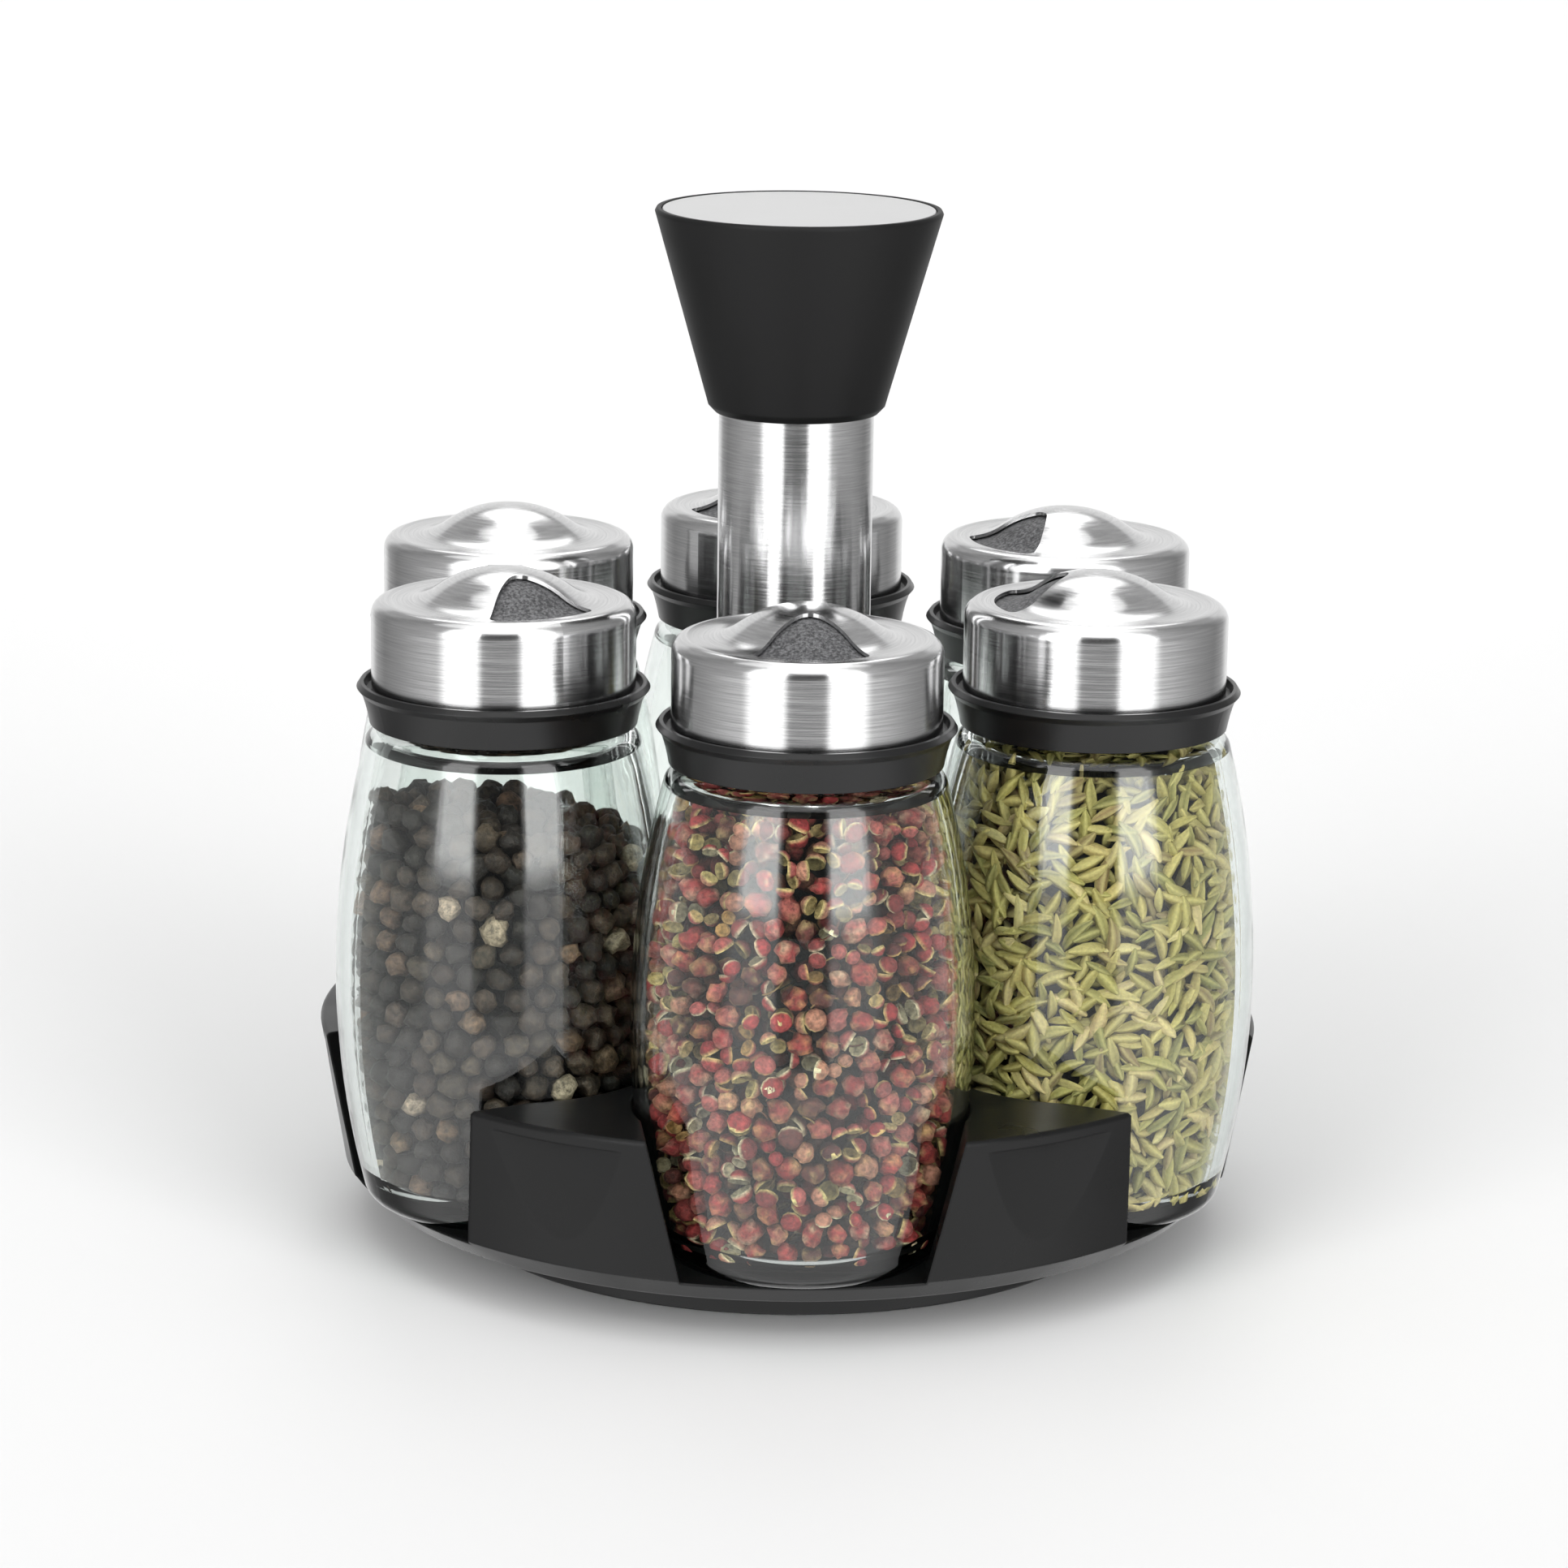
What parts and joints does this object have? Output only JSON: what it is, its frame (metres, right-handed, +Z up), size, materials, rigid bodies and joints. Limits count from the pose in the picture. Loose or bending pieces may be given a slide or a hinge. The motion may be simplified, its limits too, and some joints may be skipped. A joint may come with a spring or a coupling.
{
  "type": "spice carousel",
  "caption": "Turntable spice rack: glass jars with screw lids and turning steel caps round a steel column with a conical knob.",
  "frame": {"origin": "on the table under the axis that the carousel turns about", "axes": "+Z up along the column; -Y towards jar 1, which is the front"},
  "size_m": [0.17, 0.1776, 0.185],
  "materials": {
    "foot_plastic": "satin black moulding",
    "rubber": "soft rubber",
    "nylon": "natural nylon",
    "bearing_steel": "polished balls",
    "tray_plastic": "satin black moulding",
    "zinc_steel": "zinc plated",
    "column_steel": "brushed along the tube",
    "knob_plastic": "satin black",
    "disc_steel": "brushed in one direction",
    "brass": "turned",
    "jar_glass": "clear with green edges",
    "silicone": "translucent silicone",
    "collar_plastic": "glossy black",
    "disc_plastic": "grained dark grey",
    "cap_steel": "spun, brushed round the axis",
    "sichuan_pepper": "dry red husks",
    "fennel": "dry ridged seeds",
    "peppercorn": "dry wrinkled berries"
  },
  "bodies": {
    "foot": {"base_foot": "foot_plastic", "rubber_feet": "rubber", "pivot_bush": "nylon"},
    "race": {"ball_cage": "nylon", "bearing_balls": "bearing_steel"},
    "carousel": {"carousel_tray": "tray_plastic", "tie_rod": "zinc_steel", "foot_washer": "zinc_steel", "foot_nut": "zinc_steel", "column_tube": "column_steel", "lower_plug": "nylon", "upper_plug": "nylon", "knob": "knob_plastic", "knob_top_disc": "disc_steel", "knob_insert": "brass"},
    "jar_1": {"jar_1": "jar_glass", "sichuan_pepper_fill": "sichuan_pepper"},
    "seal_1": {"seal_1": "silicone"},
    "lid_1": {"lid_collar_1": "collar_plastic", "shaker_disc_1": "disc_plastic"},
    "cap_1": {"steel_cap_1": "cap_steel"},
    "jar_2": {"jar_2": "jar_glass", "fennel_fill": "fennel"},
    "seal_2": {"seal_2": "silicone"},
    "lid_2": {"lid_collar_2": "collar_plastic", "shaker_disc_2": "disc_plastic"},
    "cap_2": {"steel_cap_2": "cap_steel"},
    "jar_3": {"jar_3": "jar_glass"},
    "seal_3": {"seal_3": "silicone"},
    "lid_3": {"lid_collar_3": "collar_plastic", "shaker_disc_3": "disc_plastic"},
    "cap_3": {"steel_cap_3": "cap_steel"},
    "jar_4": {"jar_4": "jar_glass"},
    "seal_4": {"seal_4": "silicone"},
    "lid_4": {"lid_collar_4": "collar_plastic", "shaker_disc_4": "disc_plastic"},
    "cap_4": {"steel_cap_4": "cap_steel"},
    "jar_5": {"jar_5": "jar_glass"},
    "seal_5": {"seal_5": "silicone"},
    "lid_5": {"lid_collar_5": "collar_plastic", "shaker_disc_5": "disc_plastic"},
    "cap_5": {"steel_cap_5": "cap_steel"},
    "jar_6": {"jar_6": "jar_glass", "peppercorn_fill": "peppercorn"},
    "seal_6": {"seal_6": "silicone"},
    "lid_6": {"lid_collar_6": "collar_plastic", "shaker_disc_6": "disc_plastic"},
    "cap_6": {"steel_cap_6": "cap_steel"}
  },
  "joints": [
    {"name": "turntable_spin", "type": "hinge", "parent": "foot", "child": "carousel", "pos_m": [0, 0, 0.0126], "axis": [0, 0, 1], "continuous": true},
    {"name": "race_spin", "type": "hinge", "parent": "foot", "child": "race", "pos_m": [0, 0, 0.0083], "axis": [0, 0, 1], "continuous": true},
    {"name": "jar_lift_1", "type": "slide", "parent": "carousel", "child": "jar_1", "axis": [0, 0, 1], "range_m": [0, 0.125]},
    {"name": "lid_rise_1", "type": "slide", "parent": "jar_1", "child": "seal_1", "axis": [0, 0, 1], "range_m": [0, 0.0054]},
    {"name": "lid_turn_1", "type": "hinge", "parent": "seal_1", "child": "lid_1", "pos_m": [0, -0.0594, 0.106], "axis": [0, 0, 1], "range_deg": [0, 480]},
    {"name": "cap_turn_1", "type": "hinge", "parent": "lid_1", "child": "cap_1", "pos_m": [0, -0.0594, 0.12], "axis": [0, 0, 1], "continuous": true},
    {"name": "jar_lift_2", "type": "slide", "parent": "carousel", "child": "jar_2", "axis": [0, 0, 1], "range_m": [0, 0.125]},
    {"name": "lid_rise_2", "type": "slide", "parent": "jar_2", "child": "seal_2", "axis": [0, 0, 1], "range_m": [0, 0.0054]},
    {"name": "lid_turn_2", "type": "hinge", "parent": "seal_2", "child": "lid_2", "pos_m": [0.05144, -0.0297, 0.106], "axis": [0, 0, 1], "range_deg": [0, 480]},
    {"name": "cap_turn_2", "type": "hinge", "parent": "lid_2", "child": "cap_2", "pos_m": [0.05144, -0.0297, 0.12], "axis": [0, 0, 1], "continuous": true},
    {"name": "jar_lift_3", "type": "slide", "parent": "carousel", "child": "jar_3", "axis": [0, 0, 1], "range_m": [0, 0.125]},
    {"name": "lid_rise_3", "type": "slide", "parent": "jar_3", "child": "seal_3", "axis": [0, 0, 1], "range_m": [0, 0.0054]},
    {"name": "lid_turn_3", "type": "hinge", "parent": "seal_3", "child": "lid_3", "pos_m": [0.05144, 0.0297, 0.106], "axis": [0, 0, 1], "range_deg": [0, 480]},
    {"name": "cap_turn_3", "type": "hinge", "parent": "lid_3", "child": "cap_3", "pos_m": [0.05144, 0.0297, 0.12], "axis": [0, 0, 1], "continuous": true},
    {"name": "jar_lift_4", "type": "slide", "parent": "carousel", "child": "jar_4", "axis": [0, 0, 1], "range_m": [0, 0.125]},
    {"name": "lid_rise_4", "type": "slide", "parent": "jar_4", "child": "seal_4", "axis": [0, 0, 1], "range_m": [0, 0.0054]},
    {"name": "lid_turn_4", "type": "hinge", "parent": "seal_4", "child": "lid_4", "pos_m": [0, 0.0594, 0.106], "axis": [0, 0, 1], "range_deg": [0, 480]},
    {"name": "cap_turn_4", "type": "hinge", "parent": "lid_4", "child": "cap_4", "pos_m": [0, 0.0594, 0.12], "axis": [0, 0, 1], "continuous": true},
    {"name": "jar_lift_5", "type": "slide", "parent": "carousel", "child": "jar_5", "axis": [0, 0, 1], "range_m": [0, 0.125]},
    {"name": "lid_rise_5", "type": "slide", "parent": "jar_5", "child": "seal_5", "axis": [0, 0, 1], "range_m": [0, 0.0054]},
    {"name": "lid_turn_5", "type": "hinge", "parent": "seal_5", "child": "lid_5", "pos_m": [-0.05144, 0.0297, 0.106], "axis": [0, 0, 1], "range_deg": [0, 480]},
    {"name": "cap_turn_5", "type": "hinge", "parent": "lid_5", "child": "cap_5", "pos_m": [-0.05144, 0.0297, 0.12], "axis": [0, 0, 1], "continuous": true},
    {"name": "jar_lift_6", "type": "slide", "parent": "carousel", "child": "jar_6", "axis": [0, 0, 1], "range_m": [0, 0.125]},
    {"name": "lid_rise_6", "type": "slide", "parent": "jar_6", "child": "seal_6", "axis": [0, 0, 1], "range_m": [0, 0.0054]},
    {"name": "lid_turn_6", "type": "hinge", "parent": "seal_6", "child": "lid_6", "pos_m": [-0.05144, -0.0297, 0.106], "axis": [0, 0, 1], "range_deg": [0, 480]},
    {"name": "cap_turn_6", "type": "hinge", "parent": "lid_6", "child": "cap_6", "pos_m": [-0.05144, -0.0297, 0.12], "axis": [0, 0, 1], "continuous": true}
  ],
  "couplings": [
    {"joint": "race_spin", "follows": "turntable_spin", "ratio": 0.5},
    {"joint": "lid_rise_1", "follows": "lid_turn_1", "m_per_rad": 0.00063662},
    {"joint": "lid_rise_2", "follows": "lid_turn_2", "m_per_rad": 0.00063662},
    {"joint": "lid_rise_3", "follows": "lid_turn_3", "m_per_rad": 0.00063662},
    {"joint": "lid_rise_4", "follows": "lid_turn_4", "m_per_rad": 0.00063662},
    {"joint": "lid_rise_5", "follows": "lid_turn_5", "m_per_rad": 0.00063662},
    {"joint": "lid_rise_6", "follows": "lid_turn_6", "m_per_rad": 0.00063662}
  ]
}
